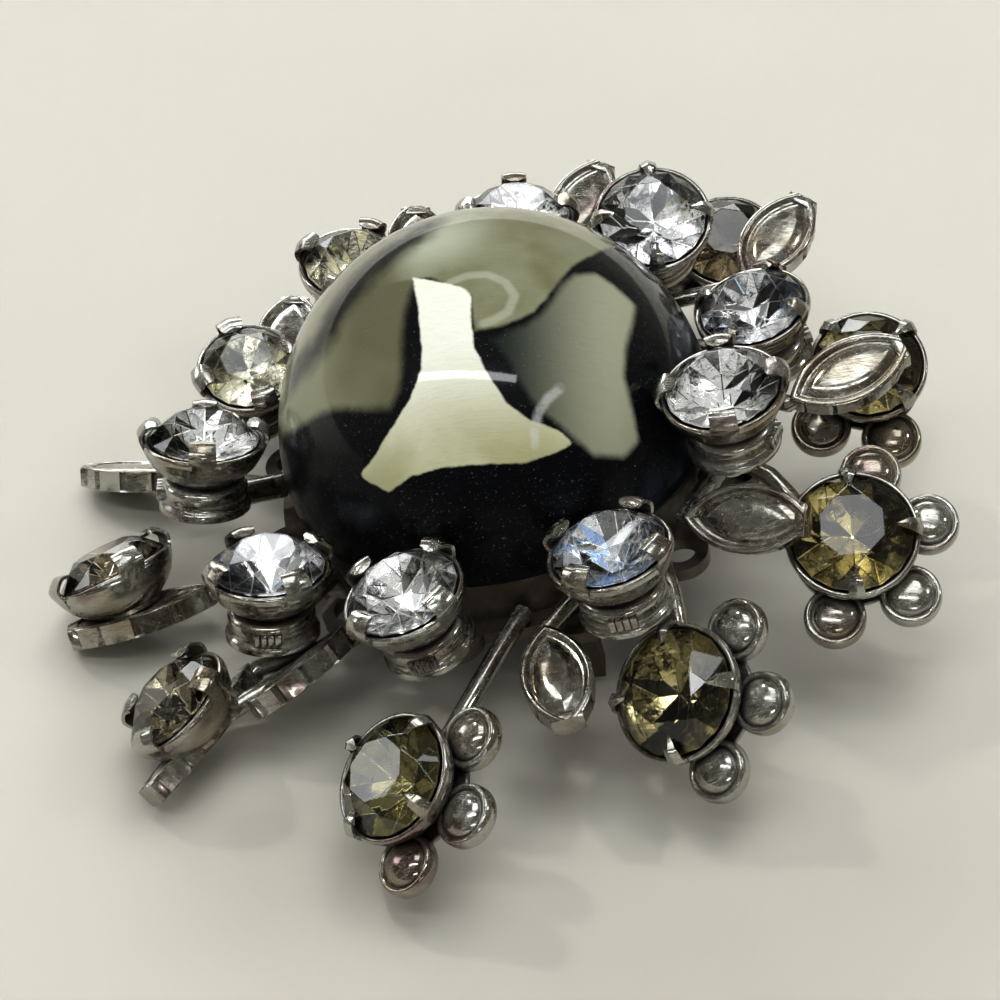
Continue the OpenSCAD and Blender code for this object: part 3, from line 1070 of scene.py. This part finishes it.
@dataclass
class Dome:
    """High glossy dome of mottled plastic."""

    radius: float = 12.5
    rim: float = 0.4
    base: float = 0.05
    rings: int = 110
    steps: int = 240

    @staticmethod
    def distance(points: np.ndarray, line: Sequence[Flat], closed: bool) -> np.ndarray:
        """Distance from each point to a line of straight spans, negative outside a closed one.

        Args:
            points: one row of two numbers for each point.
            line: corners of the line.
            closed: whether its last corner joins its first.

        Returns:
            The distances.
        """
        corners = np.array(line)
        best, held = np.full(len(points), np.inf), np.full(len(points), not closed)
        for a, b in zip(corners, np.roll(corners, -1, axis=0) if closed else corners[1:]):
            along = np.clip(((points - a) @ (b - a)) / ((b - a) @ (b - a)), 0, 1)
            best = np.minimum(best, np.linalg.norm(points - a - along[:, None] * (b - a), axis=1))
            if closed and a[1] != b[1]:
                at = a[0] + (points[:, 1] - a[1]) / (b[1] - a[1]) * (b[0] - a[0])
                held ^= ((a[1] > points[:, 1]) != (b[1] > points[:, 1])) & (points[:, 0] < at)
        return np.where(held, best, -best)

    def pattern(self, points: np.ndarray) -> dict[str, np.ndarray]:
        """Values that the plastic's finish reads, by attribute.

        Args:
            points: the dome's vertices, as rows of three numbers.

        Returns:
            A value for each vertex, mostly a distance in millimetres.
        """
        slope = np.arccos(np.clip((points[:, 2] - self.base - self.rim) / self.radius, -0.2, 1)) * self.radius
        turn = np.arctan2(points[:, 1], points[:, 0])
        chart = np.stack([slope * np.cos(turn), slope * np.sin(turn)], axis=1)
        across, along = chart[:, 0], chart[:, 1]
        drawn = {name: self.distance(chart, line, name in CHIPS) for name, line in (CHIPS | LINES).items()}
        return drawn | {
            # Distance to the centre of the painted reflection.
            "pale": np.linalg.norm(chart - np.array(REFLECTION_SPOT), axis=1),
            "band_fade": across,
            "dull": slope - 12.5 - 3.5 * np.sin(turn),
            "left_pale": -(across + 4.0) * 0.45 - 1.5,
            "fog_depth": across - 2.0,
            "ivory_low": -along - 5.0,
            # Where the painted rim reflection lies.
            "rim_reflection": slope - 17.0 + 4.5 * np.cos(turn - 0.5),
        }

    def build(self, plastic: Material) -> Piece:
        """Turn the dome, write its pattern on its points, and stand it for its node.

        Args:
            plastic: its finish.

        Returns:
            The dome.
        """
        mould = Mould()
        r, low, middle = self.radius, self.base, self.base + self.rim
        foot = [
            (0, low), (r * 0.5, low), (r - 0.12, low), (r - 0.03, low + 0.04), (r, low + 0.12), (r, middle),
        ]
        turns = [math.pi / 2 * i / self.rings for i in range(1, self.rings)]
        vault = [(r * math.cos(t), middle + r * math.sin(t)) for t in turns]
        mould.spin([*foot, *vault, (0, middle + r)], steps=self.steps)
        values = self.pattern(np.array([v.co[:] for v in mould.bm.verts]))
        piece = mould.finish("dome_mottled", (plastic,), sharp=60)
        for name, numbers in values.items():
            layer = piece.data.attributes.new(name, "FLOAT", "POINT")
            layer.data.foreach_set("value", numbers.astype(np.float32))
        settle(piece, "dome", "dome_stone")
        return piece


# Colours of the painted glint on the clear stones and of the painted shaded facets of the darker stones.
WHITE_GLINT = (0.95, 0.96, 0.98)
SHADED_FACET = (0.05, 0.05, 0.05)


class StoneLook(Enum):
    """How a stone looks: its glass, and the foil behind it."""

    WATER = (
        StoneGlass("clear glass", worn=0.2),
        StoneFoil("silver foil", dark=(0.06, 0.06, 0.06), painted_glint=WHITE_GLINT),
    )
    FROST = StoneGlass("frosted glass", worn=0.45), StoneFoil("pale foil", painted_glint=WHITE_GLINT)
    AURORA = StoneGlass("coated glass", (0.97, 0.98, 1.0)), StoneFoil("foil with painted blue glints")
    STRAW = (
        StoneGlass("yellowed glass", (0.96, 0.95, 0.87)),
        StoneFoil("yellowed foil", (0.90, 0.89, 0.80), painted_glint=(0.90, 0.86, 0.62)),
    )
    SMOKE = (
        StoneGlass("smoky glass", (0.52, 0.48, 0.40), 0.14),
        StoneFoil("dark foil", (0.31, 0.28, 0.22), SHADED_FACET, (0.80, 0.78, 0.66)),
    )
    OLIVE = (
        StoneGlass("olive glass", (0.66, 0.62, 0.44), 0.14),
        StoneFoil("olive foil", (0.48, 0.44, 0.31), SHADED_FACET, (0.98, 0.92, 0.64)),
    )
    MOSS = (
        StoneGlass("moss glass", (0.62, 0.60, 0.46), 0.14),
        StoneFoil("moss foil", (0.24, 0.225, 0.13), SHADED_FACET, (0.95, 0.92, 0.62)),
    )
    GOLD = (
        StoneGlass("golden glass", (0.72, 0.67, 0.46), 0.14),
        StoneFoil("gold foil", (0.36, 0.325, 0.205), SHADED_FACET, (0.98, 0.91, 0.62)),
    )


LOOP, POINT = ClawStyle
WATER, FROST, AURORA, STRAW, SMOKE, OLIVE, MOSS, GOLD = StoneLook
# Seat (angle, reach, height, lean out, lean round, claw turn, radius), angle of the root, claws, look.
CLEAR_ROWS = (
    (Seat(156, 16.0, 2.2, -15, 10, 45, 2.75), 150, LOOP, STRAW),
    (Seat(185, 16.3, 4.2, -15, -18, 0, 3.15), 183, LOOP, WATER),
    (Seat(223, 16.8, 3.0, -18, -5, 80, 3.15), 221, LOOP, AURORA),
    (Seat(254, 16.2, 3.6, 0, -9, 64, 3.15), 250, LOOP, FROST),
    (Seat(295, 16.2, 3.7, -8, 0, 35, 3.15), 292, LOOP, AURORA),
    (Seat(336, 15.1, 6.2, 0, 0, 24, 3.15), 336, LOOP, WATER),
    (Seat(14, 15.9, 2.95, -4, 0, 50, 3.0), 8, POINT, AURORA),
    (Seat(51, 16.0, 3.6, -12, -20, 40, 3.15), 48, POINT, WATER),
    (Seat(84, 16.3, 2.4, 8, -10, 10, 3.15), 84, LOOP, WATER),
    (Seat(121, 16.0, 2.8, -8, -10, 40, 3.0), 119, LOOP, STRAW),
)
# The same, with the first petal's angle and the number of petals before the claws.
FLOWER_ROWS = (
    (Seat(199, 23.4, 1.0, 6, -35, 20, 3.2), 212, 0, 0, LOOP, SMOKE),
    (Seat(226, 25.6, 0.8, 17, -26, 25, 3.1), 240, 0, 0, LOOP, SMOKE),
    (Seat(257, 25.8, -0.28, 22, -22, 50, 3.3), 274, 0, 3, POINT, MOSS),
    (Seat(295, 21.4, -3.1, 16, -34, 55, 3.5), 312, -18, 3, POINT, OLIVE),
    (Seat(333, 21.8, -2.6, 16, -19, 25, 3.4), 348, -82, 4, POINT, GOLD),
    (Seat(9, 21.6, -2.4, 3, -26, 30, 3.1), 31.5, -145, 2, POINT, OLIVE),
    (Seat(51, 21.8, -2.8, -10, -19, 70, 2.9), 68, 150, 2, POINT, SMOKE),
    (Seat(87, 21.0, -4.0, 10, -20, 40, 3.1), 104, 150, 2, POINT, OLIVE),
)
# Angle, reach and height of each leaf's base and of its tip, then its bank.
LEAF_ROWS = {
    "spray_1": ((146, 16.5, -1.6, 129, 20.8, -1.6, 10),),
    "spray_2": ((176, 18.4, -1.2, 173, 25.4, -1.2, 36),),
    "flower_1": ((207, 18.6, -1.2, 202, 27.0, -1.4, 28),),
    "flower_2": ((237, 15.8, -1.2, 231, 22.4, -1.8, 40), (225, 20.0, -2.0, 229, 29.8, -2.0, 45)),
    "spray_5": ((279, 15.2, -1.4, 279, 22.0, -2.0, 0),),
    "spray_6": ((320, 13.6, -0.6, 327, 20.6, 0.2, 40),),
    "spray_7": ((353, 17.0, 0.5, 1, 23.6, 1.1, 20),),
    "spray_8": ((33, 17.6, -0.2, 39, 24.2, 0.6, 15),),
    "spray_9": ((78, 16.6, -1.2, 74, 23.6, -0.2, 15),),
    "spray_10": ((108, 15.8, -1.2, 104, 22.2, -0.4, 15),),
}


class Brooch:
    """The whole brooch, with its finishes made once."""

    def __init__(self, effects: SharedEffects) -> None:
        """Make each finish with the shared groups.

        Args:
            effects: the shared groups.
        """
        self.silver = AgedSilver("aged silver plate").make(effects)
        # Painted shade: the base and clasp get a much darker copy of the silver, for the parts under the
        # brooch.
        self.shade_darkened_silver = AgedSilver(
            "silver plate darkened as painted shade", (0.17, 0.155, 0.135), (0.12, 0.10, 0.08), polish=0.4,
        ).make(effects)
        self.plastic = MottledPlastic("mottled plastic").make(effects)
        self.stones = {look: [finish.make(effects) for finish in look.value] for look in StoneLook}

    def leaves_of(self, node: str) -> list[Leaf]:
        """Leaves that are cast with a node."""
        return [Leaf(polar(*row[0:3]), polar(*row[3:6]), row[6]) for row in LEAF_ROWS.get(node, ())]

    def upper_ring(self) -> None:
        """Build the ten clear stones with their settings and sprays."""
        for k, (seat, root, style, look) in enumerate(CLEAR_ROWS, 1):
            spray = f"spray_{k}"
            Spray(Mould(), spray, seat, root, self.leaves_of(spray)).build(self.silver)
            mould = Mould()
            Setting(mould, seat, style).build()
            settle(mould.finish(f"clear_cup_{k}", (self.silver,)), "silvered_metal", f"clear_setting_{k}")
            stone = CutStone(seat).build(f"clear_cut_{k}", self.stones[look], 40 + k)
            settle(stone, "clear_stones", f"clear_stone_{k}")

    def lower_ring(self) -> None:
        """Build the eight smoky stones with their flowers."""
        for k, (seat, root, first, petals, style, look) in enumerate(FLOWER_ROWS, 1):
            flower = f"flower_{k}"
            leaves = self.leaves_of(flower)
            Flower(Mould(), flower, seat, root, leaves, first, petals, style).build(self.silver)
            stone = CutStone(seat).build(f"smoky_cut_{k}", self.stones[look], 80 + k)
            settle(stone, "smoky_stones", f"smoky_stone_{k}")

    def back(self) -> None:
        """Dress the base and the plain clasp, whose CAD shapes stay, in the darker silver that is painted
        shade under the brooch.
        """
        for name in ("base_frame", "pin_clasp"):
            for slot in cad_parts[name].material_slots:
                slot.material = self.shade_darkened_silver
            LOG.info("%s: keeps its shape", name)

    def build(self) -> Piece:
        """Build everything in order.

        Returns:
            The dome.
        """
        dome = Dome().build(self.plastic)
        self.upper_ring()
        self.lower_ring()
        self.back()
        return dome


# Name, place and size in metres, power in watts and tone of each lamp. The dome mirrors the strip
# alone: the lamps of the metal leave it out, and its own lamp and the floor's have no mirror image.
COOL = (0.95, 0.98, 1.0)
OVERHEAD = ((0.02, 0.10, 0.85), (0.5, 0.42))
STRIP = ("long strip", (-0.19, -0.25, 0.68), (0.69, 0.055), 1.1, (0.95, 0.97, 1.0), (0.958, -0.196, 0.210))
METAL_LAMPS = (
    ("overhead softbox", *OVERHEAD, 2.0, COOL),
    ("left softbox", (-0.92, 0.38, 0.34), (0.36, 0.26), 1.0, COOL),
    ("rear softbox", (-0.22, 0.95, 0.33), (0.9, 0.42), 5.2, COOL),
    ("right lamp", (0.7, 0.05, 0.65), (0.10, 0.10), 0.8),
    ("front lamp", (0.1, -0.75, 0.35), (0.3, 0.04), 0.5),
    ("small key lamp", (-0.42, 0.42, 0.72), (0.06, 0.06), 0.8, (1.0, 0.97, 0.92)),
)
DOME_LAMP = ("dome softbox without a mirror image", *OVERHEAD, 3.8)
FLOOR_LAMP = ("floor softbox without a mirror image", (0.22, 0.36, 0.78), (0.4, 0.34), 2.3)
ROOM = ((1.0, 1.0, 0.985), 0.40)
ROOM_BY_RAY = {
    "Is Glossy Ray": ((0.97, 0.95, 0.82), 0.14),
    "Is Transmission Ray": ((1.0, 1.0, 0.98), 0.58),
}


@dataclass
class Studio:
    """Camera, floor and soft lights."""

    effects: SharedEffects
    eye: Point = (-0.000185, -0.143523, 0.143642)
    pitch: float = 46.0
    lens: float = 125.3
    floor: float = 0.9

    def camera(self) -> None:
        """Make the camera at the photograph's viewing angle."""
        data = bpy.data.cameras.new("camera")
        data.lens, data.sensor_width = self.lens, 36.0
        data.clip_start, data.clip_end = 0.005, 10.0
        camera = stand("camera", data)
        camera.location = self.eye
        camera.rotation_euler = (math.radians(self.pitch), 0.0, 0.0)
        bpy.context.scene.camera = camera

    def ground(self) -> Piece:
        """Make the floor.

        Returns:
            The floor.
        """
        bm = bmesh.new()
        bmesh.ops.create_grid(bm, x_segments=2, y_segments=2, size=self.floor)
        mesh = bpy.data.meshes.new("floor")
        bm.to_mesh(mesh)
        bm.free()
        mesh.materials.append(PaleGround("pale floor").make(self.effects))
        floor = stand("floor", mesh)
        return floor

    def light(
        self, name: str, at: Point, size: Flat, power: float,
        tone: Colour = (1, 1, 1), along: Point = (1, 0, 0),
    ) -> Piece:
        """Make a soft area light that faces the brooch.

        Args:
            name: its name.
            at: its place in metres.
            size: its width and height in metres.
            power: its power in watts.
            tone: its colour.
            along: the way that its width runs.

        Returns:
            The light.
        """
        data = bpy.data.lights.new(name, "AREA")
        data.shape = "RECTANGLE"
        data.size, data.size_y = size
        data.energy, data.color = power, tone
        lamp = stand(name, data)
        back, way = Vector(at).normalized(), Vector(along)
        side = (way - back * back.dot(way)).normalized()
        turn = Matrix((side, back.cross(side), back)).transposed().to_4x4()
        lamp.matrix_world = Matrix.Translation(at) @ turn
        return lamp

    def room(self) -> None:
        """Make the pale room round the brooch: darker and browner in mirrors, brighter through glass."""
        world = bpy.data.worlds.new("soft room")
        world.use_nodes = True
        g, nodes = Graph(world.node_tree), world.node_tree.nodes
        g.feed(nodes["Background"], {"Color": ROOM[0], "Strength": ROOM[1]})
        rays, shown = g.node("ShaderNodeLightPath"), nodes["Background"].outputs["Background"]
        for ray, (tone, strength) in ROOM_BY_RAY.items():
            other = g.node("ShaderNodeBackground", {"Color": tone, "Strength": strength}).outputs[0]
            shown = g.node("ShaderNodeMixShader", {0: rays.outputs[ray], 1: shown, 2: other}).outputs[0]
        g.feed(nodes["World Output"], {"Surface": shown})
        bpy.context.scene.world = world

    def build(self, dome: Piece) -> None:
        """Build the studio.

        Args:
            dome: the piece that is lit apart from the metal.
        """
        self.camera()
        floor = self.ground()
        self.light(*STRIP)
        for name, rows, piece, state in (
            ("dome left out", METAL_LAMPS, dome, "EXCLUDE"),
            ("dome alone", (DOME_LAMP,), dome, "INCLUDE"),
            ("floor alone", (FLOOR_LAMP,), floor, "INCLUDE"),
        ):
            group = bpy.data.collections.new(name)
            group.objects.link(piece)
            for member in group.collection_objects:
                member.light_linking.link_state = state
            for row in rows:
                lamp = self.light(*row)
                lamp.visible_glossy = rows is METAL_LAMPS
                lamp.light_linking.receiver_collection = group
        self.room()
        bpy.context.scene.view_settings.view_transform = "Standard"
        bpy.context.scene.view_settings.look = "Medium High Contrast"


def main() -> None:
    """Build the studio and the brooch."""
    logging.basicConfig(level=logging.INFO, format="%(message)s")
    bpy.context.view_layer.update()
    effects = SharedEffects()
    dome = Brooch(effects).build()
    Studio(effects).build(dome)


if __name__ == "__main__":
    main()
